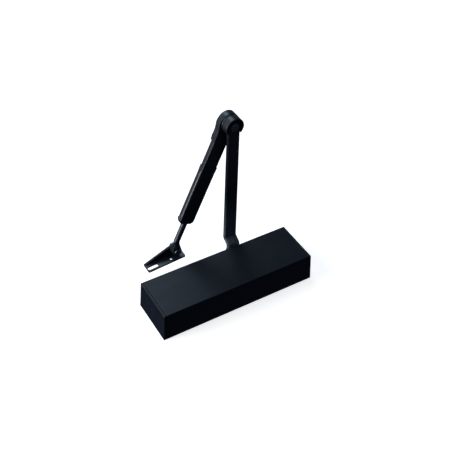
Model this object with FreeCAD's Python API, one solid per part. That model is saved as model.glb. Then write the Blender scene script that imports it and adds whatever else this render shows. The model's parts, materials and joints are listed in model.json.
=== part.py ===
import FreeCAD, Part
import math
import os

# Surface door closer with a regular double-lever arm.
#
# Frame: origin at the centre of the body's mounting face, which lies on z = 0.
# +X runs along the body towards its closing end, +Y runs along the spindle
# towards the arm, +Z points away from the door leaf. Units are millimetres.

os.makedirs("parts", exist_ok=True)
V = FreeCAD.Vector
X = V(1, 0, 0)
Y = V(0, 1, 0)
Z = V(0, 0, 1)

# ---------------------------------------------------------------- dimensions
# cover
COVER_L = 305.0        # length at the base
COVER_W = 93.7         # width at the base
COVER_H = 56.6         # projection from the door
COVER_DX = 3.17        # draft of each end over the full height
COVER_DY = 1.81        # draft of each side over the full height
COVER_T = 1.8          # wall
COVER_R = 1.2          # rounding of the long front edges
CAP_T = 3.2            # end cap plate
SEAM = 0.35            # open seam between channel and end cap

# body casting
BODY_HALF = 122.0      # half length of the barrel
BODY_W = 56.0
BODY_TOP = 52.0
BORE_R = 19.0
BORE_Z = 28.0
PLUG_R = 20.5
PLUG_L = 15.0
LUG_END = 145.0
LUG_W = 44.0
LUG_H = 13.0
FIX_X = 266.7          # fixing hole pattern along the body
FIX_Y = 19.05          # fixing hole pattern across the body
FIX_R = 3.5

# spindle and gear
SX = 51.0              # spindle axis
SZ = 28.0
PITCH_R = 8.5          # pinion pitch radius
TEETH = 10
MODULE = 2.0 * PITCH_R / TEETH
GEAR_HALF = 13.0
JOURNAL_R = 8.0
RUN = 0.05             # radial running clearance

# arm levels along the spindle axis
HUB_Y = 61.0           # face of the hub plate that looks towards the cover
ARM_Y = 75.0           # same face of the long bar
ARM_T = 8.0
ARM_W = 23.5           # bar width at the crank
ARM_W_TOP = 21.4       # bar width at the elbow
HUB_R = 13.2
ELBOW_Z = 300.5
CRANK_Z0 = 43.0
CRANK_Z1 = 52.0

# elbow
ELBOW_R = 17.2
KNUCKLE_R = 17.4
KNUCKLE_Y0 = 90.6
KNUCKLE_Y1 = 103.3
ELBOW_PIN_R = 5.0

# forearm
FORE_ANGLE = 23.75     # lean of the forearm from -Z towards -X
FORE_Y = 96.0          # centre plane
TUBE_W = 28.0
TUBE_T = 10.0
SLEEVE_W = 31.0
SLEEVE_T = 13.0
NECK_END = 40.0
TUBE_START = 26.0
COLLAR_0 = 90.0
COLLAR_1 = 100.0
SLEEVE_END = 212.0
ROD_R = 5.5
ROD_IN = 145.0
ROD_BEND = 253.5

# shoe
PIVOT_Z = 44.0
SHOE_TILT = -4.4       # lean of the shoe about its pivot at rest
SHOE_X0 = -113.3       # the shoe is drawn level, then leaned about the pivot
SHOE_X1 = -37.2
SHOE_Y0 = 90.0
SHOE_Y1 = 111.0
SHOE_TOP = 29.73
SHOE_T = 3.5
WALL_T = 4.0
EYE_R = 9.0
EYE_Y0 = 96.5
EYE_Y1 = 105.6

FA = math.radians(FORE_ANGLE)
PIVOT_X = SX - ROD_BEND * math.sin(FA)
BEND_Z = ELBOW_Z - ROD_BEND * math.cos(FA)

nodes = {}


# ------------------------------------------------------------------- helpers
def box(x0, x1, y0, y1, z0, z1):
    return Part.makeBox(x1 - x0, y1 - y0, z1 - z0, V(x0, y0, z0))


def cyl_x(r, x0, x1, y, z):
    return Part.makeCylinder(r, x1 - x0, V(x0, y, z), X)


def cyl_y(r, y0, y1, x, z):
    return Part.makeCylinder(r, y1 - y0, V(x, y0, z), Y)


def cyl_z(r, z0, z1, x, y):
    return Part.makeCylinder(r, z1 - z0, V(x, y, z0), Z)


def cone_y(r0, r1, y0, y1, x, z):
    return Part.makeCone(r0, r1, y1 - y0, V(x, y0, z), Y)


def cone_x(r0, r1, x0, x1, y, z):
    return Part.makeCone(r0, r1, x1 - x0, V(x0, y, z), X)


def cone_z(r0, r1, z0, z1, x, y):
    return Part.makeCone(r0, r1, z1 - z0, V(x, y, z0), Z)


def prism(points, direction):
    """Extrude a closed polygon of 3-D points along a vector."""
    pts = [V(*p) for p in points]
    wire = Part.makePolygon(pts + [pts[0]])
    return Part.Face(wire).extrude(direction)


def frustum(bx, by, z0, tx, ty, z1):
    """Straight-sided block from the rectangle bx, by at z0 to tx, ty at z1."""
    lo = [V(bx[0], by[0], z0), V(bx[1], by[0], z0), V(bx[1], by[1], z0), V(bx[0], by[1], z0)]
    hi = [V(tx[0], ty[0], z1), V(tx[1], ty[0], z1), V(tx[1], ty[1], z1), V(tx[0], ty[1], z1)]
    loops = [list(reversed(lo)), hi]
    loops += [[lo[k], lo[(k + 1) % 4], hi[(k + 1) % 4], hi[k]] for k in range(4)]
    faces = [Part.Face(Part.makePolygon(q + [q[0]])) for q in loops]
    return Part.makeSolid(Part.makeShell(faces))


def hex_prism_y(af, y0, y1, x, z):
    r = af / math.sqrt(3.0)
    pts = [(x + r * math.cos(math.radians(60 * k)), y0, z + r * math.sin(math.radians(60 * k)))
           for k in range(6)]
    return prism(pts, V(0, y1 - y0, 0))


def hex_prism_x(af, x0, x1, y, z):
    r = af / math.sqrt(3.0)
    pts = [(x0, y + r * math.cos(math.radians(60 * k)), z + r * math.sin(math.radians(60 * k)))
           for k in range(6)]
    return prism(pts, V(x1 - x0, 0, 0))


def hex_prism_z(af, z0, z1, x, y):
    r = af / math.sqrt(3.0)
    pts = [(x + r * math.cos(math.radians(60 * k)), y + r * math.sin(math.radians(60 * k)), z0)
           for k in range(6)]
    return prism(pts, V(0, 0, z1 - z0))


def edges_where(shape, test):
    out = []
    for e in shape.Edges:
        b = e.BoundBox
        if test(e, b):
            out.append(e)
    return out


def try_fillet(shape, r, edges):
    """Round edges, falling back to smaller radii where the full one fails."""
    for k in (1.0, 0.7, 0.4):
        try:
            s = shape.makeFillet(r * k, edges)
            if s.isValid() and s.Volume > 0:
                return s
        except Exception:
            pass
    return shape


def try_chamfer(shape, r, edges):
    for k in (1.0, 0.6):
        try:
            s = shape.makeChamfer(r * k, edges)
            if s.isValid() and s.Volume > 0:
                return s
        except Exception:
            pass
    return shape


def forearm_place(shape):
    """Lean a piece drawn hanging straight down from the elbow axis."""
    s = shape.copy()
    s.rotate(V(SX, 0, ELBOW_Z), Y, FORE_ANGLE)
    return s


def fz(d):
    """Height of a point d below the elbow in the upright forearm drawing."""
    return ELBOW_Z - d


def add(name, *shapes):
    solids = []
    for s in shapes:
        solids.extend(s.Solids)
    if not solids:
        raise RuntimeError("no solid in " + name)
    for s in solids:
        if not s.isValid():
            raise RuntimeError("invalid solid in " + name)
    nodes[name] = solids[0] if len(solids) == 1 else Part.makeCompound(solids)


# --------------------------------------------------------------------- cover
def cover_block(inset_x, inset_side, inset_top, z_low=0.0):
    """The cover's outer block, moved in by the given amounts."""
    hx0 = COVER_L / 2 - inset_x
    hx1 = COVER_L / 2 - COVER_DX - inset_x
    hy0 = COVER_W / 2 - inset_side
    hy1 = COVER_W / 2 - COVER_DY - inset_side
    top = COVER_H - inset_top
    k = top / COVER_H
    tx = hx0 + (hx1 - hx0) * k
    ty = hy0 + (hy1 - hy0) * k
    kb = z_low / COVER_H
    lx = hx0 + (hx1 - hx0) * kb
    ly = hy0 + (hy1 - hy0) * kb
    return frustum((-lx, lx), (-ly, ly), z_low, (-tx, tx), (-ty, ty), top)


outer = cover_block(0, 0, 0)
long_edges = edges_where(outer, lambda e, b: b.ZMin > COVER_H - 0.01)
outer_r = try_fillet(outer, COVER_R, long_edges)
up_edges = edges_where(outer_r, lambda e, b: b.ZMin < 0.01 and b.ZMax > COVER_H - 3 and b.XLength < 4 and b.YLength < 3)
outer_r = try_fillet(outer_r, 1.0, up_edges)

span = cover_block(CAP_T + SEAM, -5, -5)         # middle stretch of the block
span = span.common(box(-200, 200, -100, 100, -1, 80))
inner = cover_block(-20, COVER_T, COVER_T, -1.0)
channel = outer_r.common(span).cut(inner)
# notch that lets the cover drop over the spindle
notch = box(SX - 16.5, SX + 16.5, 30, 60, -1, SZ).fuse(cyl_y(16.5, 30, 60, SX, SZ))
channel = channel.cut(notch)
# small bevel where the channel meets each end cap
for sgn in (-1, 1):
    bev = edges_where(channel, lambda e, b, s=sgn: s * (b.XMin + b.XMax) / 2 > 144 and
                      b.YLength > 60 and b.ZMin > COVER_H - 0.6 and b.XLength < 0.5)
    channel = try_chamfer(channel, 0.4, bev)
add("cover_channel", channel)


def end_cap(sgn):
    big = outer_r.cut(cover_block(CAP_T, -5, -5).common(box(-200, 200, -100, 100, -2, 90)))
    half = big.common(box(0, 200, -100, 100, -1, 80) if sgn > 0 else box(-200, 0, -100, 100, -1, 80))
    plate = half
    # rim that slips inside the channel
    lip = cover_block(CAP_T - 0.2, COVER_T + 0.12, COVER_T + 0.12, 0.0)
    lip = lip.cut(cover_block(CAP_T - 5, COVER_T + 1.7, COVER_T + 1.7, -1.0))
    x_in = COVER_L / 2 - COVER_DX - CAP_T - 6.0
    lip = lip.common(box(x_in, 160, -100, 100, -1, 80) if sgn > 0 else box(-160, -x_in, -100, 100, -1, 80))
    cap = plate.fuse(lip)
    cap = cap.removeSplitter()
    ed = edges_where(cap, lambda e, b, s=sgn: b.YLength > 60 and b.ZMin > COVER_H - 0.6 and b.XLength < 0.5 and
                     s * (b.XMin + b.XMax) / 2 < COVER_L / 2 - COVER_DX - CAP_T + 0.3)
    cap = try_chamfer(cap, 0.4, ed)
    return cap


add("cover_end_cap_spring_side", end_cap(-1))
add("cover_end_cap_closing_side", end_cap(1))

# ---------------------------------------------------------------------- body
barrel = box(-BODY_HALF, BODY_HALF, -BODY_W / 2, BODY_W / 2, 2.0, BODY_TOP)
barrel = try_fillet(barrel, 9.0, edges_where(barrel, lambda e, b: b.XLength > 200 and b.ZMin > 40))
body = barrel
foot = box(-LUG_END, LUG_END, -LUG_W / 2, LUG_W / 2, 0.0, LUG_H)
foot = try_fillet(foot, 8.0, edges_where(foot, lambda e, b: b.ZLength > 10))
body = body.fuse(foot)
# ribs that stiffen the lugs
for sx in (-1, 1):
    rib = prism([(sx * (BODY_HALF - 1), -3, LUG_H - 1), (sx * (LUG_END - 4), -3, LUG_H - 1),
                 (sx * (BODY_HALF - 1), -3, LUG_H + 6)], V(0, 6, 0))
    body = body.fuse(rib)
# spindle bosses
body = body.fuse(cyl_y(18.0, BODY_W / 2 - 2, 37.0, SX, SZ))
body = body.fuse(cyl_y(15.0, -34.0, -BODY_W / 2 + 2, SX, SZ))
# lightening pockets under the foot, clear of the origin pad
for x0, x1 in ((-100, -18), (18, 100)):
    body = body.cut(box(x0, x1, -16, 16, -1, 4.0))
body = body.cut(cyl_x(BORE_R, -BODY_HALF - 1, BODY_HALF + 1, 0, BORE_Z))
body = body.cut(cyl_x(PLUG_R, -BODY_HALF - 2.0, -BODY_HALF + PLUG_L, 0, BORE_Z))
body = body.cut(cyl_x(PLUG_R, BODY_HALF - PLUG_L, BODY_HALF + 2.0, 0, BORE_Z))
body = body.cut(cyl_y(13.0, 0, 38, SX, SZ))
body = body.cut(cyl_y(11.0, -35, 0, SX, SZ))
for fx in (-FIX_X / 2, FIX_X / 2):
    for fy in (-FIX_Y / 2, FIX_Y / 2):
        body = body.cut(cyl_z(FIX_R, -1, LUG_H + 1, fx, fy))
# regulating valve wells beside the bore, drilled from the front face
VALVES = {"latching_valve": (98.0, 23.0), "closing_valve": (82.0, 23.0), "backcheck_valve": (2.0, 23.0)}
VALVE_R = 3.2
VALVE_LOW = 33.0
for vx, vy in VALVES.values():
    body = body.cut(cyl_z(VALVE_R + RUN, VALVE_LOW, BODY_TOP + 1, vx, vy))
    # oil way from the well into the bore
    body = body.cut(cyl_y(1.0, 10.0, vy, vx, VALVE_LOW + 1.6))
    body = body.cut(cyl_z(4.6 + RUN, BODY_TOP - 5.5, BODY_TOP + 1, vx, vy))
# clip screw holes
CLIP_X = (-84.0, 104.0)
for cx in CLIP_X:
    for sy in (-1, 1):
        body = body.cut(cyl_y(1.8, 20, 30, cx, 10.0) if sy > 0 else cyl_y(1.8, -30, -20, cx, 10.0))
body = body.removeSplitter()
add("body_casting", body)

# ---------------------------------------------------------------- end plugs
def end_plug(sgn):
    x_out = sgn * (BODY_HALF + 1.5)
    x_in = sgn * (BODY_HALF - PLUG_L)
    lo, hi = min(x_out, x_in), max(x_out, x_in)
    p = cyl_x(PLUG_R - 0.02, lo, hi, 0, BORE_Z)
    ed = edges_where(p, lambda e, b: abs((b.XMin + b.XMax) / 2 - x_out) < 0.1 and b.YLength > 30)
    p = try_chamfer(p, 1.2, ed)
    # groove for the sealing ring
    g0, g1 = (BODY_HALF - 12.5, BODY_HALF - 9.9)
    if sgn < 0:
        g0, g1 = -g1, -g0
    groove = cyl_x(PLUG_R + 1, g0, g1, 0, BORE_Z).cut(cyl_x(PLUG_R - 2.2, g0 - 1, g1 + 1, 0, BORE_Z))
    return p.cut(groove)


closing_plug = end_plug(1)
closing_plug = closing_plug.cut(hex_prism_x(12.0, BODY_HALF - 6, BODY_HALF + 3, 0, BORE_Z))
add("closing_end_plug", closing_plug)
spring_plug = end_plug(-1).cut(cyl_x(5.0 + RUN, -BODY_HALF - 5, -BODY_HALF + PLUG_L + 1, 0, BORE_Z))
for k in range(4):
    a = math.radians(45 + 90 * k)
    spring_plug = spring_plug.cut(cyl_x(2.0, -BODY_HALF - 3, -BODY_HALF + 4, 13 * math.cos(a), BORE_Z + 13 * math.sin(a)))
add("spring_end_plug", spring_plug)

gmid = BODY_HALF - 11.2
rings = []
for sgn in (-1, 1):
    rings.append(Part.makeTorus(PLUG_R - 1.25, 1.15, V(sgn * gmid, 0, BORE_Z), X))
add("end_plug_seals", *rings)

# ------------------------------------------------------- spindle and pinion
def involute_gear(z, m, r_pitch, alpha, ha, hf, backlash, y0, y1, cx, cz, phase):
    """Spur pinion with involute flanks, drawn in XZ and extruded along Y."""
    rb = r_pitch * math.cos(alpha)
    ra = r_pitch + ha * m
    rf = r_pitch - hf * m
    inv_a = math.tan(alpha) - alpha
    half = math.pi / (2 * z) - backlash / (2 * r_pitch)
    pts = []
    for k in range(z):
        c = phase + 2 * math.pi * k / z
        flank = []
        n = 6
        for i in range(n + 1):
            r = rb + (ra - rb) * i / n
            t = math.acos(min(1.0, rb / r))
            inv = math.tan(t) - t
            flank.append((r, half + inv_a - inv))
        base_half = half + inv_a
        left = [(rf, c - base_half)] + [(r, c - a) for r, a in flank]
        right = [(r, c + a) for r, a in reversed(flank)] + [(rf, c + base_half)]
        pts += left + right
    poly = [(cx + r * math.cos(a), y0, cz + r * math.sin(a)) for r, a in pts]
    return prism(poly, V(0, y1 - y0, 0))


ALPHA = math.radians(25.0)
HA = 0.8
HF = 1.08
# a tooth space of the pinion faces the rack, straight up from the axis
phase0 = math.pi / 2 + math.pi / TEETH
gear = involute_gear(TEETH, MODULE, PITCH_R, ALPHA, HA, HF, 0.16, -GEAR_HALF, GEAR_HALF, SX, SZ, phase0)
shaft = gear.fuse(cyl_y(JOURNAL_R, GEAR_HALF - 1, 58.0, SX, SZ))
shaft = shaft.fuse(cyl_y(7.0, -30.0, -GEAR_HALF + 1, SX, SZ))
# square drive for the arm
square = cyl_y(JOURNAL_R, 58.0, 69.0, SX, SZ).common(box(SX - 6, SX + 6, 57, 70, SZ - 6, SZ + 6))
shaft = shaft.fuse(square)
shaft = shaft.cut(cyl_y(4.0, 46.0, 70, SX, SZ))
add("pinion_shaft", shaft)

# upper bearing, threaded retaining cap and lip seal
add("upper_bearing", cyl_y(12.98, 19.3, 25.0, SX, SZ).cut(cyl_y(JOURNAL_R + RUN, 18, 26, SX, SZ)))
nut = cyl_y(12.95, 25.1, 37.1, SX, SZ).fuse(cyl_y(15.5, 37.05, 41.0, SX, SZ))
nut = nut.cut(cyl_y(JOURNAL_R + 0.5, 25, 42, SX, SZ)).cut(cyl_y(11.0, 33.0, 42, SX, SZ))
for k in range(4):
    a = math.radians(45 + 90 * k)
    nut = nut.cut(cyl_y(1.6, 38.6, 42, SX + 13.2 * math.cos(a), SZ + 13.2 * math.sin(a)))
add("spindle_retaining_cap", nut)
add("spindle_lip_seal", cyl_y(10.98, 33.1, 38.5, SX, SZ).cut(cyl_y(JOURNAL_R + RUN, 32, 40, SX, SZ)))

# lower bearing and its screwed cap
add("lower_bearing", cyl_y(10.98, -26.5, -16.5, SX, SZ).cut(cyl_y(7.0 + RUN, -28, -16, SX, SZ)))
low_cap = cyl_y(10.94, -33.6, -30.6, SX, SZ)
low_cap = low_cap.cut(hex_prism_y(8.0, -34, -31.6, SX, SZ))
add("lower_bearing_cap", low_cap)
add("lower_cap_seal", Part.makeTorus(9.4, 1.4, V(SX, -29.0, SZ), Y))

# -------------------------------------------------------------------- piston
P_R = BORE_R - RUN
P_X0, P_X1 = 20.0, 103.0
WIN_X0, WIN_X1 = 38.5, 89.5
PITCH_LINE = SZ + PITCH_R
piston = cyl_x(P_R, P_X0, P_X1, 0, BORE_Z)
root_z = PITCH_LINE + HF * MODULE
piston = piston.cut(box(WIN_X0, WIN_X1, -25, 25, SZ - 11.5, root_z))
# rack teeth on the window's front wall
pitch = math.pi * MODULE
ta = math.tan(ALPHA)
n_left = int((SX - WIN_X0) / pitch) + 1
rack = []
for k in range(-3, 7):
    c = SX + k * pitch                       # centre of a rack tooth
    half_p = pitch / 4 - 0.08
    tip = PITCH_LINE - HA * MODULE
    w_tip = half_p - (PITCH_LINE - tip) * ta
    w_root = half_p + (root_z + 0.3 - PITCH_LINE) * ta
    if c - w_root < WIN_X0 + 0.5 or c + w_root > WIN_X1 - 0.5:
        continue
    rack.append(prism([(c - w_tip, -GEAR_HALF + 1, tip), (c + w_tip, -GEAR_HALF + 1, tip),
                       (c + w_root, -GEAR_HALF + 1, root_z + 0.3), (c - w_root, -GEAR_HALF + 1, root_z + 0.3)],
                      V(0, 2 * GEAR_HALF - 2, 0)))
for t in rack:
    piston = piston.fuse(t)
# spring pocket in the tail, ring groove and check valve passage in the head
piston = piston.cut(cyl_x(8.0, P_X0 - 1, P_X0 + 8, 0, BORE_Z))
piston = piston.cut(cyl_x(P_R + 1, 96.0, 98.4, 0, BORE_Z).cut(cyl_x(P_R - 2.0, 95, 99, 0, BORE_Z)))
piston = piston.cut(cyl_x(1.6, WIN_X1 - 1, 104, 0, BORE_Z))
piston = piston.cut(cyl_x(4.2, 95.0, 104, 0, BORE_Z))
piston = piston.removeSplitter()
add("rack_piston", piston)
add("piston_ring", cyl_x(P_R - 0.02, 96.1, 98.3, 0, BORE_Z).cut(cyl_x(P_R - 1.9, 95, 99, 0, BORE_Z)))
add("check_valve_ball", Part.makeSphere(2.5, V(97.8, 0, BORE_Z)))
add("check_valve_seat", cyl_x(4.15, 100.4, 102.8, 0, BORE_Z).cut(cyl_x(1.6, 100, 104, 0, BORE_Z)))

# ------------------------------------------------- spring power adjustment
SEAT_X0 = -103.5
add("power_adjusting_screw",
    cyl_x(5.0, -BODY_HALF - 4.0, -84.0, 0, BORE_Z)
    .fuse(cyl_x(7.0, -BODY_HALF - 6.5, -BODY_HALF - 1.9, 0, BORE_Z))
    .cut(hex_prism_x(6.0, -BODY_HALF - 7, -BODY_HALF - 2.6, 0, BORE_Z)))
seat = cyl_x(BORE_R - 0.3, SEAT_X0, SEAT_X0 + 4.5, 0, BORE_Z)
seat = seat.fuse(cyl_x(8.8, SEAT_X0 + 4.0, SEAT_X0 + 13.0, 0, BORE_Z))
seat = seat.cut(cyl_x(5.0 + RUN, -130, -60, 0, BORE_Z))
add("spring_seat", seat)

# ------------------------------------------------------------------- springs
def coil_spring(mean_r, wire_r, x0, x1, turns):
    """Compression spring along X between the two given end planes."""
    length = (x1 - x0) - 2 * wire_r
    pitch_s = length / turns
    helix = Part.makeHelix(pitch_s, length, mean_r)
    circ = Part.Wire([Part.makeCircle(wire_r, V(mean_r, 0, 0), V(0, 1, pitch_s / (2 * math.pi * mean_r)))])
    body_s = Part.Wire(helix).makePipeShell([circ], True, True)
    body_s.rotate(V(0, 0, 0), Y, 90)
    body_s.translate(V(x0 + wire_r, 0, BORE_Z))
    return body_s


SPR0, SPR1 = SEAT_X0 + 4.8, P_X0 - 0.3
add("outer_spring", coil_spring(15.6, 2.5, SPR0, SPR1, 12))
add("inner_spring", coil_spring(10.9, 1.6, SPR0, SPR1, 18))

# -------------------------------------------------------- regulating valves
seals = []
for vname, (vx, vy) in VALVES.items():
    screw = cyl_z(VALVE_R, VALVE_LOW + 4.0, BODY_TOP - 5.4, vx, vy)
    screw = screw.fuse(cone_z(0.6, VALVE_R, VALVE_LOW + 0.6, VALVE_LOW + 4.0, vx, vy))
    screw = screw.fuse(cyl_z(4.6, BODY_TOP - 5.4, BODY_TOP + 0.4, vx, vy))
    screw = screw.cut(box(vx - 5, vx + 5, vy - 0.6, vy + 0.6, BODY_TOP - 1.4, BODY_TOP + 1))
    g0 = BODY_TOP - 10.2
    screw = screw.cut(cyl_z(VALVE_R + 1, g0, g0 + 2.0, vx, vy).cut(cyl_z(VALVE_R - 1.1, g0 - 1, g0 + 3, vx, vy)))
    add(vname, screw)
    seals.append((vname, cyl_z(VALVE_R - 0.05, g0 + 0.1, g0 + 1.9, vx, vy).cut(cyl_z(VALVE_R - 1.05, g0 - 1, g0 + 3, vx, vy))))
for vname, s in seals:
    add(vname.replace("_valve", "_valve_seal"), s)

# -------------------------------------------------------------- cover clips
clips, clip_screws = [], []
for cx in CLIP_X:
    for sy in (-1, 1):
        half = COVER_W / 2
        wall_in = half - COVER_DY * 20.0 / COVER_H - COVER_T
        y0 = BODY_W / 2
        path = [(y0, 5.0), (y0, 16.0), (y0 + 1.2, 16.0), (y0 + 1.2, 6.2), (wall_in - 1.8, 6.2),
                (wall_in - 1.5, 26.0), (wall_in - 4.5, 33.0), (wall_in - 3.4, 33.5), (wall_in - 0.3, 26.2),
                (wall_in - 0.5, 5.0)]
        c = prism([(cx - 8, sy * p, q) for p, q in path], V(16, 0, 0))
        hole = cyl_y(2.1, y0 - 1, y0 + 3, cx, 10.0) if sy > 0 else cyl_y(2.1, -y0 - 3, -y0 + 1, cx, 10.0)
        c = c.cut(hole)
        clips.append(c)
        if sy > 0:
            s = cyl_y(1.78, y0 - 7, y0 + 1.3, cx, 10.0).fuse(cyl_y(3.4, y0 + 1.25, y0 + 3.4, cx, 10.0))
            s = s.cut(hex_prism_y(2.5, y0 + 2.0, y0 + 4, cx, 10.0))
        else:
            s = cyl_y(1.78, -y0 - 1.3, -y0 + 7, cx, 10.0).fuse(cyl_y(3.4, -y0 - 3.4, -y0 - 1.25, cx, 10.0))
            s = s.cut(hex_prism_y(2.5, -y0 - 4, -y0 - 2.0, cx, 10.0))
        clip_screws.append(s)
add("cover_clips", *clips)
add("cover_clip_screws", *clip_screws)

# ------------------------------------------------------------------ main arm
def arm_profile():
    """Side view of the cranked bar in YZ: hub plate, crank, long bar."""
    cr = (ARM_Y - HUB_Y, CRANK_Z1 - CRANK_Z0)
    ln = math.hypot(*cr)
    ny, nz = cr[1] / ln, -cr[0] / ln               # normal towards +Y and -Z
    # back line of the crank, one thickness away from its front line
    by, bz = HUB_Y + ny * ARM_T, CRANK_Z0 + nz * ARM_T
    sl = cr[1] / cr[0]
    zb0 = bz + (HUB_Y + ARM_T - by) * sl
    zb1 = bz + (ARM_Y + ARM_T - by) * sl
    return [(HUB_Y, SZ), (HUB_Y, CRANK_Z0), (ARM_Y, CRANK_Z1), (ARM_Y, ELBOW_Z),
            (ARM_Y + ARM_T, ELBOW_Z), (ARM_Y + ARM_T, zb1), (HUB_Y + ARM_T, zb0), (HUB_Y + ARM_T, SZ)]


bar = prism([(SX - ARM_W / 2, p, q) for p, q in arm_profile()], V(ARM_W, 0, 0))
# rounded bends: tight on the inside, wide on the outside
def bends(shape, y):
    return edges_where(shape, lambda e, b: b.XLength > ARM_W - 0.1 and abs(b.YMin - y) < 0.05 and
                       SZ + 2 < b.ZMin < CRANK_Z1 + 14)


bar = try_fillet(bar, 2.5, bends(bar, ARM_Y))
bar = try_fillet(bar, 2.5, bends(bar, HUB_Y + ARM_T))
bar = try_fillet(bar, 8.0, bends(bar, ARM_Y + ARM_T))
bar = try_fillet(bar, 8.0, bends(bar, HUB_Y))
hub = cyl_y(HUB_R, HUB_Y, HUB_Y + ARM_T, SX, SZ)
eye = cyl_y(ARM_W_TOP / 2, ARM_Y, ARM_Y + ARM_T, SX, ELBOW_Z)
# the long bar narrows evenly from the crank to the elbow
for sx in (-1, 1):
    trim = prism([(SX + sx * ARM_W / 2, ARM_Y - 2, CRANK_Z1 + 16), (SX + sx * ARM_W_TOP / 2, ARM_Y - 2, ELBOW_Z),
                  (SX + sx * ARM_W_TOP / 2, ARM_Y - 2, ELBOW_Z + 2), (SX + sx * (ARM_W / 2 + 3), ARM_Y - 2, ELBOW_Z + 2),
                  (SX + sx * (ARM_W / 2 + 3), ARM_Y - 2, CRANK_Z1 + 16)], V(0, ARM_T + 4, 0))
    bar = bar.cut(trim)
arm = bar.fuse(hub).fuse(eye)
arm = arm.cut(box(SX - 6.02, SX + 6.02, HUB_Y - 1, HUB_Y + ARM_T + 1, SZ - 6.02, SZ + 6.02)
              .common(cyl_y(8.02, HUB_Y - 1, HUB_Y + ARM_T + 1, SX, SZ)))
arm = arm.cut(cyl_y(ELBOW_PIN_R + 0.02, ARM_Y - 1, ARM_Y + ARM_T + 1, SX, ELBOW_Z))
arm = arm.removeSplitter()
arm = try_chamfer(arm, 0.7, edges_where(arm, lambda e, b: b.ZMin > CRANK_Z1 + 2 and b.ZLength > 150))
add("main_arm", arm)

add("arm_washer", cyl_y(10.0, HUB_Y + ARM_T + 0.05, HUB_Y + ARM_T + 2.0, SX, SZ)
    .cut(cyl_y(4.2, HUB_Y, HUB_Y + ARM_T + 3, SX, SZ)))
a_screw = cyl_y(3.98, 50.0, HUB_Y + ARM_T + 2.1, SX, SZ)
a_screw = a_screw.fuse(cyl_y(6.6, HUB_Y + ARM_T + 2.05, HUB_Y + ARM_T + 9.0, SX, SZ))
a_screw = a_screw.cut(hex_prism_y(6.0, HUB_Y + ARM_T + 4.6, HUB_Y + ARM_T + 10, SX, SZ))
add("arm_screw", a_screw)

# --------------------------------------------------------------------- elbow
# cup on the bar's eye: a hoop round the eye, open where the bar leaves
CUP_Y0 = ARM_Y - 2.6
CUP_Y1 = ARM_Y + ARM_T + 2.4
cup = cyl_y(ELBOW_R, CUP_Y0, CUP_Y1, SX, ELBOW_Z)
ce = edges_where(cup, lambda e, b: b.YLength < 0.01 and b.XLength > 20)
cup = try_fillet(cup, 0.8, ce)
cup = cup.cut(cyl_y(ELBOW_R - 2.2, CUP_Y0 - 1, ARM_Y + ARM_T + 0.05, SX, ELBOW_Z))
cup = cup.cut(box(SX - ARM_W_TOP / 2 - 0.3, SX + ARM_W_TOP / 2 + 0.3, CUP_Y0 - 1, ARM_Y + ARM_T + 0.05, ELBOW_Z - 30, ELBOW_Z - 4.6))
cup = cup.cut(cyl_y(ELBOW_PIN_R + 0.02, CUP_Y0 - 2, CUP_Y1 + 2, SX, ELBOW_Z))
add("elbow_cup", cup)


def disc(r_out, y0, y1, round_r=0.3):
    d = cyl_y(r_out, y0, y1, SX, ELBOW_Z)
    ce2 = edges_where(d, lambda e, b: b.YLength < 0.01 and b.XLength > 20)
    d = try_fillet(d, round_r, ce2)
    return d.cut(cyl_y(ELBOW_PIN_R + 0.02, y0 - 1, y1 + 1, SX, ELBOW_Z))


add("friction_disc_front", disc(15.6, 85.45, 86.6))
add("friction_ring_middle", disc(ELBOW_R, 86.95, 88.45, 0.5).cut(cyl_y(ELBOW_PIN_R + RUN, 86, 89, SX, ELBOW_Z)))
add("friction_disc_rear", disc(15.6, 88.8, 90.25))

pin = cyl_y(ELBOW_PIN_R, ARM_Y - 0.5, 105.6, SX, ELBOW_Z)
head = cyl_y(8.0, ARM_Y - 2.6, ARM_Y - 0.02, SX, ELBOW_Z)
he = edges_where(head, lambda e, b: b.YLength < 0.01 and b.YMin < ARM_Y - 2 and b.XLength > 10)
head = try_fillet(head, 1.8, he)
pin = pin.fuse(head)
add("elbow_pin", pin)
add("elbow_spring_washer", cone_y(9.6, 8.6, 98.7, 100.3, SX, ELBOW_Z).cut(cyl_y(ELBOW_PIN_R + 0.05, 98, 101, SX, ELBOW_Z)))
enut = hex_prism_y(15.0, 100.4, 104.4, SX, ELBOW_Z).common(cyl_y(8.3, 100, 105, SX, ELBOW_Z))
enut = enut.cut(cyl_y(ELBOW_PIN_R + 0.02, 100, 105, SX, ELBOW_Z))
add("elbow_nut", enut)

# knuckle with the neck that grips the forearm tube
kn = cyl_y(KNUCKLE_R, KNUCKLE_Y0, KNUCKLE_Y1, SX, ELBOW_Z)
neck_y0, neck_y1 = 89.4, 102.3
# the neck swells into a shoulder each side of the barrel before it narrows to the tube
shoulder = [(16.2, -6.0), (18.4, -1.5), (19.1, 3.0), (18.3, 8.0), (17.0, 13.0), (16.0, 19.0), (15.4, NECK_END)]
neck = prism([(SX - w, KNUCKLE_Y0, fz(d)) for w, d in shoulder]
             + [(SX + w, KNUCKLE_Y0, fz(d)) for w, d in reversed(shoulder)],
             V(0, neck_y1 - KNUCKLE_Y0, 0))
front = prism([(SX - 16.0, neck_y0, fz(20)), (SX + 16.0, neck_y0, fz(20)),
               (SX + 15.4, neck_y0, fz(NECK_END)), (SX - 15.4, neck_y0, fz(NECK_END))],
              V(0, neck_y1 - neck_y0, 0))
front = front.cut(cyl_y(ELBOW_R + 0.6, 80, 110, SX, ELBOW_Z))
lip = box(SX - 15.7, SX + 15.7, neck_y0 - 0.5, neck_y1 + 0.5, fz(34.2), fz(30.6))
kn = kn.fuse(neck).fuse(front).fuse(lip).removeSplitter()
kn = try_fillet(kn, 0.7, edges_where(kn, lambda e, b: b.YMin > KNUCKLE_Y1 - 0.1 and b.XLength > 10))
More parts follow.
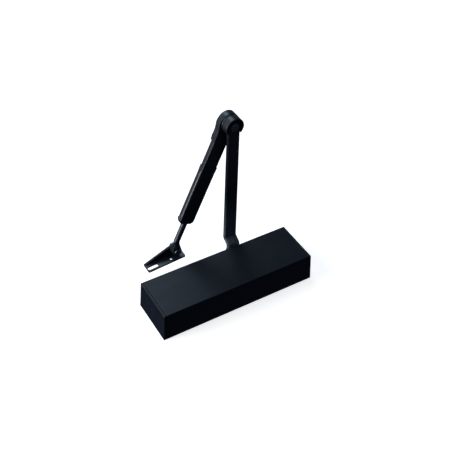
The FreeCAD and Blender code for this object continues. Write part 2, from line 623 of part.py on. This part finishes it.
kn = kn.cut(box(SX - TUBE_W / 2 - 0.02, SX + TUBE_W / 2 + 0.02, FORE_Y - TUBE_T / 2 - 0.02, FORE_Y + TUBE_T / 2 + 0.02,
                fz(NECK_END + 1), fz(TUBE_START - 0.1)))
kn = kn.cut(cyl_y(ELBOW_PIN_R + RUN, 80, 110, SX, ELBOW_Z))
kn = kn.cut(cyl_y(10.4, 98.5, 110, SX, ELBOW_Z))
add("elbow_knuckle", forearm_place(kn))

# ------------------------------------------------------------------- forearm
tube = box(SX - TUBE_W / 2, SX + TUBE_W / 2, FORE_Y - TUBE_T / 2, FORE_Y + TUBE_T / 2, fz(COLLAR_1 + 8), fz(TUBE_START))
tube = try_fillet(tube, 1.2, edges_where(tube, lambda e, b: b.ZLength > 50))
tube = tube.cut(box(SX - TUBE_W / 2 + 1.6, SX + TUBE_W / 2 - 1.6, FORE_Y - TUBE_T / 2 + 1.6, FORE_Y + TUBE_T / 2 - 1.6,
                    fz(COLLAR_1 + 9), fz(TUBE_START - 1)))
add("forearm_tube", forearm_place(tube))

collar = box(SX - 14.95, SX + 14.95, FORE_Y - 6.0, FORE_Y + 6.0, fz(COLLAR_1), fz(COLLAR_0))
collar = try_fillet(collar, 1.4, edges_where(collar, lambda e, b: b.ZLength > 5))
collar = try_fillet(collar, 0.6, edges_where(collar, lambda e, b: b.ZLength < 0.01 and b.ZMin > fz(COLLAR_0) - 0.1))
collar = collar.cut(box(SX - TUBE_W / 2 - 0.03, SX + TUBE_W / 2 + 0.03, FORE_Y - TUBE_T / 2 - 0.03, FORE_Y + TUBE_T / 2 + 0.03,
                        fz(COLLAR_1 + 1), fz(COLLAR_0 - 1)))
add("forearm_collar", forearm_place(collar))

# adjusting sleeve: flat barrel with a rounded lower end
sl = box(SX - SLEEVE_W / 2, SX + SLEEVE_W / 2, FORE_Y - SLEEVE_T / 2, FORE_Y + SLEEVE_T / 2, fz(SLEEVE_END), fz(COLLAR_1 + 0.1))
corner = edges_where(sl, lambda e, b: b.YLength > SLEEVE_T - 0.1 and b.ZMin < fz(SLEEVE_END) + 0.1)
sl = try_fillet(sl, 9.0, corner)
long4 = edges_where(sl, lambda e, b: b.ZLength > 80 and b.XLength < 0.1 and b.YLength < 0.1)
sl = try_fillet(sl, 4.0, long4)
sl = sl.cut(box(SX - TUBE_W / 2 - 0.03, SX + TUBE_W / 2 + 0.03, FORE_Y - TUBE_T / 2 - 0.03, FORE_Y + TUBE_T / 2 + 0.03,
                fz(COLLAR_1 + 8.1), fz(COLLAR_1 - 1)))
sl = sl.cut(cyl_z(ROD_R + RUN, fz(SLEEVE_END + 1), fz(COLLAR_1 + 2), SX, FORE_Y))
sl = sl.cut(cyl_x(2.5, SX - 20, SX, FORE_Y, fz(200)))
add("adjusting_sleeve", forearm_place(sl))

clamp = cyl_x(2.48, SX - 15.6, SX - ROD_R - 0.06, FORE_Y, fz(200))
ch = cyl_x(3.6, SX - 17.6, SX - 15.55, FORE_Y, fz(200))
ch = try_fillet(ch, 0.7, edges_where(ch, lambda e, b: b.XMax < SX - 17.5))
clamp = clamp.fuse(ch).cut(hex_prism_x(2.5, SX - 18, SX - 16.2, FORE_Y, fz(200)))
add("sleeve_clamp_screw", forearm_place(clamp))

# rod: straight shank in the sleeve, one bend, flat eye beside the shank
shank = cyl_z(ROD_R, fz(ROD_BEND), fz(ROD_IN), SX, FORE_Y)
rod = forearm_place(shank)
rod = rod.fuse(Part.makeSphere(ROD_R, V(PIVOT_X, FORE_Y, BEND_Z)))
rod = rod.fuse(cyl_z(ROD_R, PIVOT_Z + 2, BEND_Z, PIVOT_X, FORE_Y))
flat = cyl_y(EYE_R, EYE_Y0 - 3.5, EYE_Y1, PIVOT_X, PIVOT_Z)
web = prism([(PIVOT_X - EYE_R, EYE_Y0 - 3.5, PIVOT_Z), (PIVOT_X + EYE_R, EYE_Y0 - 3.5, PIVOT_Z),
             (PIVOT_X + ROD_R - 0.6, EYE_Y0 - 3.5, PIVOT_Z + 17), (PIVOT_X - ROD_R + 0.6, EYE_Y0 - 3.5, PIVOT_Z + 17)],
            V(0, EYE_Y1 - EYE_Y0 + 3.5, 0))
slope = prism([(PIVOT_X - 20, EYE_Y1 + 1, PIVOT_Z + 8), (PIVOT_X - 20, EYE_Y1 + 1, PIVOT_Z + 30),
               (PIVOT_X - 20, FORE_Y + ROD_R - 2.0, PIVOT_Z + 17)], V(40, 0, 0))
eye_block = flat.fuse(web.cut(slope))
rod = rod.fuse(eye_block)
rod = rod.cut(box(PIVOT_X - 20, PIVOT_X + 20, 80, EYE_Y0 - 3.5, PIVOT_Z - 12, PIVOT_Z + 9))
rod = rod.cut(cyl_y(5.0, 80, 110, PIVOT_X, PIVOT_Z))
rod = rod.removeSplitter()
add("adjusting_rod", rod)
add("rod_eye_bush", cyl_y(4.98, EYE_Y0 - 3.5, EYE_Y1, PIVOT_X, PIVOT_Z).cut(cyl_y(3.5 + RUN, 80, 110, PIVOT_X, PIVOT_Z)))

# ---------------------------------------------------------------------- shoe
plate = box(SHOE_X0, SHOE_X1, SHOE_Y0, SHOE_Y1, SHOE_TOP - SHOE_T, SHOE_TOP)
plate = try_fillet(plate, 2.0, edges_where(plate, lambda e, b: b.ZLength > 3 and b.YMax < SHOE_Y0 + 0.1))
wy0 = SHOE_Y1 - WALL_T
ear_r = 7.6
a_l = math.atan2(PIVOT_Z - (SHOE_TOP + 1.2), PIVOT_X - (SHOE_X0))
d_l = math.hypot(PIVOT_Z - (SHOE_TOP + 1.2), PIVOT_X - SHOE_X0)
t_l = a_l + math.asin(ear_r / d_l)
tx = PIVOT_X - ear_r * math.sin(t_l)
tz = PIVOT_Z + ear_r * math.cos(t_l)
a_r = math.atan2(PIVOT_Z - (SHOE_TOP + 0.6), SHOE_X1 - 1.0 - PIVOT_X)
d_r = math.hypot(PIVOT_Z - (SHOE_TOP + 0.6), SHOE_X1 - 1.0 - PIVOT_X)
t_r = a_r + math.asin(ear_r / d_r)
ux = PIVOT_X + ear_r * math.sin(t_r)
uz = PIVOT_Z + ear_r * math.cos(t_r)
wall = prism([(SHOE_X0, wy0, SHOE_TOP - 1), (SHOE_X1, wy0, SHOE_TOP - 1), (SHOE_X1 - 1.0, wy0, SHOE_TOP + 0.6),
              (ux, wy0, uz), (PIVOT_X, wy0, PIVOT_Z), (tx, wy0, tz), (SHOE_X0, wy0, SHOE_TOP + 1.2)], V(0, WALL_T, 0))
wall = wall.fuse(cyl_y(ear_r, wy0, SHOE_Y1, PIVOT_X, PIVOT_Z))
shoe = plate.fuse(wall).removeSplitter()
shoe = try_fillet(shoe, 1.5, edges_where(shoe, lambda e, b: b.XLength > 60 and abs(b.ZMin - SHOE_TOP) < 0.01 and
                                         b.ZLength < 0.01 and abs(b.YMin - wy0) < 0.01))
SLOT_CX, SLOT_CY = -101.05, 97.6
SLOT_HALF, SLOT_R = 6.6, 4.3
slot = cyl_z(SLOT_R, 20, 35, SLOT_CX - SLOT_HALF, SLOT_CY).fuse(cyl_z(SLOT_R, 20, 35, SLOT_CX + SLOT_HALF, SLOT_CY))
slot = slot.fuse(box(SLOT_CX - SLOT_HALF, SLOT_CX + SLOT_HALF, SLOT_CY - SLOT_R, SLOT_CY + SLOT_R, 20, 35))
shoe = shoe.cut(slot)
HOLE_X = -64.0
shoe = shoe.cut(cyl_z(2.75, 20, 35, HOLE_X, SLOT_CY))
shoe = shoe.cut(cyl_y(3.52, 100, 120, PIVOT_X, PIVOT_Z))
shoe.rotate(V(PIVOT_X, 0, PIVOT_Z), Y, SHOE_TILT)
add("shoe", shoe)

# shoulder pin through the eye, washer between eye and ear, nut behind
sp = cyl_y(3.5, EYE_Y0 - 3.6, SHOE_Y1 + 4.6, PIVOT_X, PIVOT_Z)
sh = cyl_y(6.4, EYE_Y0 - 6.3, EYE_Y0 - 3.8, PIVOT_X, PIVOT_Z)
sh = try_fillet(sh, 1.1, edges_where(sh, lambda e, b: b.YMax < EYE_Y0 - 6.2))
sp = sp.fuse(sh).fuse(cyl_y(3.5, EYE_Y0 - 4.0, EYE_Y0 - 3.0, PIVOT_X, PIVOT_Z))
add("shoe_pivot_pin", sp)
add("shoe_washer", cyl_y(6.6, EYE_Y1 + 0.3, wy0 - 0.05, PIVOT_X, PIVOT_Z).cut(cyl_y(3.55, 100, 112, PIVOT_X, PIVOT_Z)))
snut = hex_prism_y(11.0, SHOE_Y1 + 0.05, SHOE_Y1 + 4.2, PIVOT_X, PIVOT_Z).cut(cyl_y(3.52, 100, 120, PIVOT_X, PIVOT_Z))
snut.rotate(V(PIVOT_X, 0, PIVOT_Z), Y, SHOE_TILT)
add("shoe_nut", snut)

# -------------------------------------------------------------------- export
total = 0.0
for name in sorted(nodes):
    shp = nodes[name]
    shp.exportStep("parts/" + name + ".step")
    total += shp.Volume
    bb = shp.BoundBox
    print("%-30s solids %d  vol %9.1f  x %.1f..%.1f  y %.1f..%.1f  z %.1f..%.1f" %
          (name, len(shp.Solids), shp.Volume, bb.XMin, bb.XMax, bb.YMin, bb.YMax, bb.ZMin, bb.ZMax))
print("nodes", len(nodes), "volume", round(total))
print("pivot x %.3f  bend z %.3f" % (PIVOT_X, BEND_Z))
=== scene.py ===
import json
import math

import bmesh
import bpy
from mathutils import Matrix, Vector


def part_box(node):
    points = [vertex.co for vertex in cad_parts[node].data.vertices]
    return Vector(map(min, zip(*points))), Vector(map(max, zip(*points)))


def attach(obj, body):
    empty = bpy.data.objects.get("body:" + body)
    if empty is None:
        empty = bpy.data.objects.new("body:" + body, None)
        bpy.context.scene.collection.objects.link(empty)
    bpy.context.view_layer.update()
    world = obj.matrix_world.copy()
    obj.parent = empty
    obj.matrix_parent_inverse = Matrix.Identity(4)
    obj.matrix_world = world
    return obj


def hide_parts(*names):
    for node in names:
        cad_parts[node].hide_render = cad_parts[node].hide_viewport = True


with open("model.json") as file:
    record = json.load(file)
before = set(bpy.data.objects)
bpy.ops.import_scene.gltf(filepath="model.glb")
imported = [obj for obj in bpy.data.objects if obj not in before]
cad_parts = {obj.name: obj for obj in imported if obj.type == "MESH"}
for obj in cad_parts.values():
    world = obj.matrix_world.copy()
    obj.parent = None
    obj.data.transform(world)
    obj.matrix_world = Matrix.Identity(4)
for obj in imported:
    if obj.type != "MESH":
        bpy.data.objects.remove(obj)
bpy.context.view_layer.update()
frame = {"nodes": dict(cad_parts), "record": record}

NODES = frame["nodes"]
NODE_BODY = {n: b for b, ns in frame["record"]["behaviour"]["bodies"].items() for n in ns}
NODE_SLOT = {s["node"]: s["material_slot"] for s in frame["record"]["subparts"]}

# ------------------------------------------------------------------ materials
class Tree:
    """Short names for building a node tree."""

    def __init__(self, name):
        self.mat = bpy.data.materials.new(name)
        self.mat.use_nodes = True
        self.t = self.mat.node_tree
        self.t.nodes.clear()
        self.out = self.t.nodes.new("ShaderNodeOutputMaterial")
        self.bsdf = self.t.nodes.new("ShaderNodeBsdfPrincipled")
        self.t.links.new(self.bsdf.outputs[0], self.out.inputs[0])
        self.coord = self.t.nodes.new("ShaderNodeTexCoord").outputs["Object"]

    def link(self, a, b):
        self.t.links.new(a, b)

    def noise(self, scale, detail=3.0, rough=0.5, distortion=0.0, vec=None):
        n = self.t.nodes.new("ShaderNodeTexNoise")
        n.inputs["Scale"].default_value = scale
        n.inputs["Detail"].default_value = detail
        n.inputs["Roughness"].default_value = rough
        n.inputs["Distortion"].default_value = distortion
        self.link(vec if vec is not None else self.coord, n.inputs["Vector"])
        return n.outputs["Fac"]

    def voronoi(self, scale, feature="F1", vec=None):
        n = self.t.nodes.new("ShaderNodeTexVoronoi")
        n.feature = feature
        n.inputs["Scale"].default_value = scale
        self.link(vec if vec is not None else self.coord, n.inputs["Vector"])
        return n.outputs["Distance"]

    def stretch(self, scale, offset=(0, 0, 0)):
        n = self.t.nodes.new("ShaderNodeMapping")
        n.inputs["Scale"].default_value = scale
        n.inputs["Location"].default_value = offset
        self.link(self.coord, n.inputs["Vector"])
        return n.outputs[0]

    def math(self, op, a, b=None, c=None, clamp=False):
        n = self.t.nodes.new("ShaderNodeMath")
        n.operation = op
        n.use_clamp = clamp
        for k, v in enumerate((a, b, c)):
            if v is None:
                continue
            if isinstance(v, (int, float)):
                n.inputs[k].default_value = v
            else:
                self.link(v, n.inputs[k])
        return n.outputs[0]

    def span(self, v, lo, hi, to_lo=0.0, to_hi=1.0, smooth=False):
        n = self.t.nodes.new("ShaderNodeMapRange")
        n.clamp = True
        if smooth:
            n.interpolation_type = "SMOOTHSTEP"
        self.link(v, n.inputs["Value"])
        n.inputs["From Min"].default_value = lo
        n.inputs["From Max"].default_value = hi
        n.inputs["To Min"].default_value = to_lo
        n.inputs["To Max"].default_value = to_hi
        return n.outputs["Result"]

    def ramp(self, v, stops):
        n = self.t.nodes.new("ShaderNodeValToRGB")
        e = n.color_ramp.elements
        while len(e) < len(stops):
            e.new(0.5)
        for k, (p, c) in enumerate(stops):
            e[k].position = p
            e[k].color = (c[0], c[1], c[2], 1)
        self.link(v, n.inputs[0])
        return n.outputs[0]

    def mix(self, fac, a, b):
        n = self.t.nodes.new("ShaderNodeMix")
        n.data_type = "RGBA"
        self.link(fac, n.inputs[0])
        for k, v in ((6, a), (7, b)):
            if isinstance(v, tuple):
                n.inputs[k].default_value = (v[0], v[1], v[2], 1)
            else:
                self.link(v, n.inputs[k])
        return n.outputs[2]

    def edges(self, radius):
        """Rounded normal, and a mask that is 1 along outer and inner edges."""
        b = self.t.nodes.new("ShaderNodeBevel")
        b.samples = 6
        b.inputs["Radius"].default_value = radius
        g = self.t.nodes.new("ShaderNodeNewGeometry")
        d = self.t.nodes.new("ShaderNodeVectorMath")
        d.operation = "DOT_PRODUCT"
        self.link(b.outputs[0], d.inputs[0])
        self.link(g.outputs["Normal"], d.inputs[1])
        mask = self.span(d.outputs["Value"], 0.995, 0.80, 0.0, 1.0)
        return b.outputs[0], mask

    def bump(self, height, strength, distance, normal=None):
        n = self.t.nodes.new("ShaderNodeBump")
        n.inputs["Strength"].default_value = strength
        n.inputs["Distance"].default_value = distance
        self.link(height, n.inputs["Height"])
        if normal is not None:
            self.link(normal, n.inputs["Normal"])
        return n.outputs[0]


def powder_coat(name, dark, light, rough, peel, spec, wear=0.35, foot=None):
    """Satin black powder coat: cloudy depth of colour, orange peel, fine grit, rubbed edges.
    foot: (height where the coat keeps its own dark colour, height where a painted highlight makes it lightest,
    standing in for light falling on the lower arm near the crank)."""
    t = Tree(name)
    cloud = t.noise(26.0, 4.0, 0.55)
    speck = t.noise(2600.0, 2.0, 0.6)
    base = t.ramp(cloud, [(0.30, dark), (0.72, light)])
    grit = t.span(speck, 0.60, 0.74)
    grit = t.math("MULTIPLY", grit, 0.35)
    base = t.mix(grit, base, tuple(min(1.0, c * 2.4 + 0.004) for c in light))
    rounded, edge = t.edges(0.0007)
    rub_and_light_noise = t.noise(140.0, 5.0, 0.62)
    rubbed = t.math("MULTIPLY", edge, t.span(rub_and_light_noise, 0.40, 0.66), clamp=True)
    rubbed = t.math("MULTIPLY", rubbed, wear)
    base = t.mix(rubbed, base, tuple(c * 3.4 + 0.016 for c in light))
    if foot:
        sep = t.t.nodes.new("ShaderNodeSeparateXYZ")
        t.link(t.coord, sep.inputs[0])
        # painted highlight: the lower arm is painted lighter bluish grey towards the crank, in place of light falling
        # on it; the noise only breaks the band up
        painted_foot_light = t.math("MULTIPLY", t.span(sep.outputs["Z"], foot[0], foot[1], 0.0, 1.0, smooth=True),
                      t.span(rub_and_light_noise, 0.25, 0.60, 0.55, 1.0))
        painted_foot_light = t.math("MULTIPLY", painted_foot_light, t.span(sep.outputs["X"], 0.020, 0.030), clamp=True)
        base = t.mix(painted_foot_light, base, (0.095, 0.114, 0.136))
        # painted shade in the grooves and painted highlights on the lands of shallow turned rings round the elbow's
        # barrel, in colour only
        lines = t.math("SINE", t.math("ADD", t.math("MULTIPLY", sep.outputs["Y"], 1240.0), t.math("MULTIPLY", cloud, 0.3)))
        groove = t.math("MULTIPLY", t.span(lines, -0.55, -0.85, smooth=True), t.span(sep.outputs["Z"], 0.278, 0.288))
        t.groove = t.math("MULTIPLY", groove, 0.9, clamp=True)
        base = t.mix(t.groove, base, (0.0005, 0.0006, 0.0009))
        painted_land_highlight = t.math("MULTIPLY", t.span(lines, 0.1, 0.8, smooth=True), t.span(sep.outputs["Z"], 0.278, 0.288))
        base = t.mix(t.math("MULTIPLY", painted_land_highlight, 0.8, clamp=True), base, (0.026, 0.030, 0.038))
    t.link(base, t.bsdf.inputs["Base Color"])
    # handling marks: long faint streaks with a changed gloss
    streak = t.noise(18.0, 6.0, 0.68, 0.8, vec=t.stretch((1.0, 5.0, 0.6)))
    r = t.span(streak, 0.30, 0.72, rough - 0.055, rough + 0.075)
    r = t.math("ADD", r, t.math("MULTIPLY", t.math("SUBTRACT", speck, 0.5), 0.10))
    r = t.math("SUBTRACT", r, t.math("MULTIPLY", rubbed, 0.10), clamp=True)
    t.link(r, t.bsdf.inputs["Roughness"])
    peel_n = t.noise(620.0, 2.0, 0.45)
    h = t.math("ADD", t.math("MULTIPLY", peel_n, 1.0), t.math("MULTIPLY", speck, 0.28))
    t.link(t.bump(h, peel, 0.00028, rounded), t.bsdf.inputs["Normal"])
    t.bsdf.inputs["Specular IOR Level"].default_value = spec
    t.bsdf.inputs["Coat Weight"].default_value = 0.06
    t.bsdf.inputs["Coat Roughness"].default_value = 0.34
    return t.mat


def metal(name, base, tint, rough, marks=(1.0, 1.0, 1.0), mark_scale=900.0, mark_bump=0.12,
          metallic=1.0, blotch=0.25, edge_gain=1.5, radius=0.0004):
    """Bare or plated metal with machining marks, blotches and brighter edges."""
    t = Tree(name)
    blot = t.noise(55.0, 5.0, 0.6)
    line = t.noise(mark_scale, 3.0, 0.55, vec=t.stretch(marks))
    c = t.ramp(blot, [(0.28, tuple(v * (1 - blotch) for v in base)), (0.60, base), (0.85, tint)])
    rounded, edge = t.edges(radius)
    e = t.math("MULTIPLY", edge, t.span(t.noise(210.0, 4.0, 0.6), 0.35, 0.62), clamp=True)
    e = t.math("MULTIPLY", e, 0.55)
    c = t.mix(e, c, tuple(min(0.95, v * edge_gain + 0.02) for v in base))
    fine = t.math("MULTIPLY", t.span(line, 0.35, 0.65), 0.12)
    c = t.mix(fine, c, tuple(v * 0.55 for v in base))
    t.link(c, t.bsdf.inputs["Base Color"])
    r = t.math("ADD", t.span(line, 0.25, 0.75, rough - 0.07, rough + 0.07),
               t.math("MULTIPLY", t.math("SUBTRACT", blot, 0.5), 0.20), clamp=True)
    t.link(r, t.bsdf.inputs["Roughness"])
    t.link(t.bump(line, mark_bump, 0.00012, rounded), t.bsdf.inputs["Normal"])
    t.bsdf.inputs["Metallic"].default_value = metallic
    return t.mat


def cast_surface(name, dark, light, rough):
    """Painted casting: sand-cast grain, a few pits, thin paint over it."""
    t = Tree(name)
    grain = t.noise(300.0, 6.0, 0.62)
    pits = t.voronoi(240.0)
    cloud = t.noise(20.0, 4.0, 0.5)
    c = t.ramp(cloud, [(0.3, dark), (0.75, light)])
    # the pits are dipped in the bump and also painted darker: painted shade in the pits
    pit_and_shade = t.math("MULTIPLY", t.span(pits, 0.16, 0.02), 0.6)
    c = t.mix(pit_and_shade, c, tuple(v * 0.4 for v in dark))
    rounded, edge = t.edges(0.0010)
    e = t.math("MULTIPLY", edge, t.span(grain, 0.42, 0.64), clamp=True)
    e = t.math("MULTIPLY", e, 0.30)
    c = t.mix(e, c, tuple(v * 2.6 for v in light))
    t.link(c, t.bsdf.inputs["Base Color"])
    t.link(t.span(grain, 0.3, 0.7, rough - 0.08, rough + 0.10), t.bsdf.inputs["Roughness"])
    h = t.math("SUBTRACT", grain, t.math("MULTIPLY", pit_and_shade, 0.8))
    t.link(t.bump(h, 0.35, 0.00045, rounded), t.bsdf.inputs["Normal"])
    t.bsdf.inputs["Specular IOR Level"].default_value = 0.4
    return t.mat


def ring_metal(name, base, rough):
    """Blackened discs, turned about the elbow axis: circular marks and a worn rim."""
    t = Tree(name)
    sx, ez = ELBOW.x, ELBOW.z
    sub = t.t.nodes.new("ShaderNodeVectorMath")
    sub.operation = "SUBTRACT"
    t.link(t.coord, sub.inputs[0])
    sub.inputs[1].default_value = (sx, 0.0, ez)
    flat = t.t.nodes.new("ShaderNodeVectorMath")
    flat.operation = "MULTIPLY"
    t.link(sub.outputs[0], flat.inputs[0])
    flat.inputs[1].default_value = (1, 0, 1)
    ln = t.t.nodes.new("ShaderNodeVectorMath")
    ln.operation = "LENGTH"
    t.link(flat.outputs[0], ln.inputs[0])
    wob = t.noise(90.0, 3.0, 0.5)
    rr = t.math("ADD", t.math("MULTIPLY", ln.outputs["Value"], 9000.0), t.math("MULTIPLY", wob, 2.2))
    wave = t.math("SINE", rr)
    blot = t.noise(120.0, 4.0, 0.6)
    c = t.ramp(blot, [(0.3, tuple(v * 0.6 for v in base)), (0.7, base)])
    rounded, edge = t.edges(0.0004)
    e = t.math("MULTIPLY", edge, t.span(t.noise(260.0, 4.0, 0.6), 0.34, 0.60), clamp=True)
    c = t.mix(t.math("MULTIPLY", e, 0.7), c, tuple(v * 2.6 + 0.02 for v in base))
    sep = t.t.nodes.new("ShaderNodeSeparateXYZ")
    t.link(t.coord, sep.inputs[0])
    # painted shade: dark bands for the grooves between the turned lands along the elbow axis, in colour only
    lands = t.math("SINE", t.math("ADD", t.math("MULTIPLY", sep.outputs["Y"], 2094.4), t.math("MULTIPLY", wob, 0.5)))
    groove = t.math("MULTIPLY", t.span(lands, -0.35, -0.80, smooth=True), 0.75)
    c = t.mix(groove, c, tuple(v * 0.12 for v in base))
    t.link(c, t.bsdf.inputs["Base Color"])
    t.link(t.span(blot, 0.3, 0.7, rough - 0.06, rough + 0.08), t.bsdf.inputs["Roughness"])
    t.link(t.bump(wave, 0.10, 0.00010, rounded), t.bsdf.inputs["Normal"])
    t.bsdf.inputs["Metallic"].default_value = 0.85
    return t.mat


def rubber(name):
    t = Tree(name)
    n = t.noise(420.0, 4.0, 0.6)
    big = t.noise(60.0, 3.0, 0.5)
    t.link(t.ramp(big, [(0.3, (0.010, 0.010, 0.011)), (0.75, (0.026, 0.026, 0.028))]), t.bsdf.inputs["Base Color"])
    t.link(t.span(n, 0.3, 0.7, 0.62, 0.85), t.bsdf.inputs["Roughness"])
    t.link(t.bump(n, 0.25, 0.0002), t.bsdf.inputs["Normal"])
    t.bsdf.inputs["Specular IOR Level"].default_value = 0.35
    return t.mat


pin_lo, pin_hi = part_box("elbow_pin")
ELBOW = (pin_lo + pin_hi) / 2

MATS = {
    "cover_paint": powder_coat("cover_paint", (0.0008, 0.0022, 0.0070), (0.0017, 0.0036, 0.0096), 0.44, 0.20, 0.30, 0.30),
    # arm_paint's foot heights give the lower arm a painted highlight and the elbow barrel painted groove shade and
    # land highlights
    "arm_paint": powder_coat("arm_paint", (0.0022, 0.0040, 0.0086), (0.0042, 0.0066, 0.0122), 0.37, 0.14, 0.55, 0.55,
                             foot=(0.165, 0.058)),
    "joint_metal": ring_metal("joint_metal", (0.130, 0.140, 0.172), 0.34),
    "fastener_black": metal("fastener_black", (0.17, 0.18, 0.21), (0.22, 0.23, 0.26), 0.30, mark_bump=0.08,
                            metallic=0.9, edge_gain=2.0),
    "casting_paint": cast_surface("casting_paint", (0.030, 0.033, 0.038), (0.046, 0.050, 0.056), 0.56),
    "machined_steel": metal("machined_steel", (0.50, 0.51, 0.53), (0.60, 0.61, 0.62), 0.27, marks=(6.0, 0.4, 0.4)),
    "spring_steel": metal("spring_steel", (0.16, 0.16, 0.17), (0.22, 0.20, 0.17), 0.34, mark_scale=500.0),
    "zinc_plate": metal("zinc_plate", (0.56, 0.58, 0.60), (0.66, 0.65, 0.56), 0.33, marks=(0.5, 0.5, 4.0),
                        mark_scale=420.0, edge_gain=1.2),
    "valve_brass": metal("valve_brass", (0.62, 0.46, 0.20), (0.72, 0.56, 0.28), 0.26, marks=(0.4, 0.4, 6.0), edge_gain=1.25),
    "bush_bronze": metal("bush_bronze", (0.38, 0.25, 0.12), (0.46, 0.33, 0.18), 0.42, mark_bump=0.2, edge_gain=1.3),
    "seal_rubber": rubber("seal_rubber"),
}

for name, obj in NODES.items():
    mat = MATS[NODE_SLOT[name]]
    for s in obj.material_slots:
        s.material = mat
    if not obj.material_slots:
        obj.data.materials.append(mat)

# ------------------------------------------------- finer meshes for outer pieces
def refine(node, width, segments=3, angle=32.0, drop=0.3):
    """Copy of a CAD piece with merged faces and true rounded edges, standing for that piece."""
    src = NODES[node]
    me = src.data.copy()
    me.name = node + "_fine"
    bm = bmesh.new()
    bm.from_mesh(me)
    bmesh.ops.remove_doubles(bm, verts=bm.verts, dist=2e-7)
    bmesh.ops.dissolve_limit(bm, angle_limit=math.radians(drop), verts=bm.verts, edges=bm.edges)
    bm.normal_update()
    bm.to_mesh(me)
    bm.free()
    me.shade_smooth()
    me.materials.clear()
    me.materials.append(MATS[NODE_SLOT[node]])
    ob = bpy.data.objects.new(node + "_fine", me)
    bpy.context.scene.collection.objects.link(ob)
    if width > 0:
        b = ob.modifiers.new("edge", "BEVEL")
        b.width = width
        b.segments = segments
        b.limit_method = "ANGLE"
        b.angle_limit = math.radians(angle)
        b.use_clamp_overlap = True
        b.loop_slide = True
        b.miter_outer = "MITER_ARC"
    w = ob.modifiers.new("normals", "WEIGHTED_NORMAL")
    w.keep_sharp = True
    w.weight = 60
    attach(ob, NODE_BODY[node])
    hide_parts(node)
    return ob


# ------------------------------------------------------------------ the room
def floor_material():
    m = bpy.data.materials.new("pale_floor")
    m.use_nodes = True
    nt = m.node_tree
    nt.nodes.clear()
    out = nt.nodes.new("ShaderNodeOutputMaterial")
    add = nt.nodes.new("ShaderNodeAddShader")
    dif = nt.nodes.new("ShaderNodeBsdfDiffuse")
    dif.inputs["Color"].default_value = (0.80, 0.80, 0.80, 1)
    emi = nt.nodes.new("ShaderNodeEmission")
    emi.inputs["Color"].default_value = (1, 1, 1, 1)
    emi.inputs["Strength"].default_value = 0.80
    nt.links.new(dif.outputs[0], add.inputs[0])
    nt.links.new(emi.outputs[0], add.inputs[1])
    nt.links.new(add.outputs[0], out.inputs[0])
    return m


fm = bpy.data.meshes.new("floor")
S = 9.0
fm.from_pydata([(-S, -S, -0.0006), (S, -S, -0.0006), (S, S, -0.0006), (-S, S, -0.0006)], [], [(0, 1, 2, 3)])
floor = bpy.data.objects.new("floor", fm)
bpy.context.scene.collection.objects.link(floor)
floor.data.materials.append(floor_material())
floor.visible_glossy = False
floor.visible_diffuse = False

world = bpy.data.worlds.new("studio")
bpy.context.scene.world = world
world.use_nodes = True
wt = world.node_tree
wt.nodes.clear()
wo = wt.nodes.new("ShaderNodeOutputWorld")
path = wt.nodes.new("ShaderNodeLightPath")
bg_cam = wt.nodes.new("ShaderNodeBackground")
bg_cam.inputs["Color"].default_value = (1, 1, 1, 1)
bg_cam.inputs["Strength"].default_value = 1.0
bg = wt.nodes.new("ShaderNodeBackground")
bg.inputs["Color"].default_value = (0.42, 0.62, 1.0, 1)
bg.inputs["Strength"].default_value = 0.055
mx = wt.nodes.new("ShaderNodeMixShader")
wt.links.new(path.outputs["Is Camera Ray"], mx.inputs[0])
wt.links.new(bg.outputs[0], mx.inputs[1])
wt.links.new(bg_cam.outputs[0], mx.inputs[2])
wt.links.new(mx.outputs[0], wo.inputs[0])


def area(name, loc, aim, size, power, color=(1, 1, 1), size_y=None):
    ld = bpy.data.lights.new(name, "AREA")
    ld.shape = "RECTANGLE"
    ld.size = size
    ld.size_y = size_y or size
    ld.energy = power
    ld.color = color
    o = bpy.data.objects.new(name, ld)
    bpy.context.scene.collection.objects.link(o)
    o.location = loc
    d = Vector(aim) - Vector(loc)
    o.rotation_mode = "QUATERNION"
    o.rotation_quaternion = d.to_track_quat("-Z", "Y")
    return o


area("key_soft", (-1.5, 0.55, 1.5), (0, 0, 0.12), 1.0, 22.0, (0.84, 0.93, 1.0))
area("top_sheen", (0.04, 0.95, 1.10), (-0.10, 0.0, 0.05), 0.60, 4.2, (0.62, 0.82, 1.0))
area("left_fill", (-1.5, 0.35, 0.22), (-0.1, 0, 0.15), 0.9, 22.0, (0.92, 0.96, 1.0))
area("back_fill", (0.35, 1.9, 0.34), (0.03, 0.05, 0.12), 1.3, 8.0, (0.84, 0.92, 1.0), 0.45)
area("right_fill", (1.9, 0.55, 0.30), (0.05, 0.0, 0.08), 1.1, 6.0, (0.84, 0.92, 1.0), 0.40)
area("low_front", (0.35, -1.5, 0.20), (0.03, 0.05, 0.16), 0.5, 0.45, (0.80, 0.90, 1.0))

# ------------------------------------------------------------------ the camera
cd = bpy.data.cameras.new("camera")
cam = bpy.data.objects.new("camera", cd)
bpy.context.scene.collection.objects.link(cam)
cd.sensor_fit = "HORIZONTAL"
cd.sensor_width = 36.0
cd.lens = 833.758 / 452.0 * 36.0
cd.clip_start = 0.05
cd.clip_end = 60.0
right = Vector((0.86125374, -0.50764747, 0.02315250))
up = Vector((0.33075917, 0.59457604, 0.73285586))
back = Vector((-0.38579835, -0.62351694, 0.67998989))
rot = Matrix((right, up, back)).transposed()
cam.matrix_world = Matrix.Translation((-0.54819400, -0.87609936, 1.11948286)) @ rot.to_4x4()
bpy.context.scene.camera = cam
bpy.context.scene.view_settings.view_transform = "Standard"

for n, w in (("cover_channel", 0.0006), ("cover_end_cap_spring_side", 0.0006), ("cover_end_cap_closing_side", 0.0006),
             ("main_arm", 0.0008), ("elbow_knuckle", 0.0007), ("forearm_collar", 0.0004), ("adjusting_sleeve", 0.0005),
             ("shoe", 0.0006), ("elbow_cup", 0.0004)):
    refine(n, w)
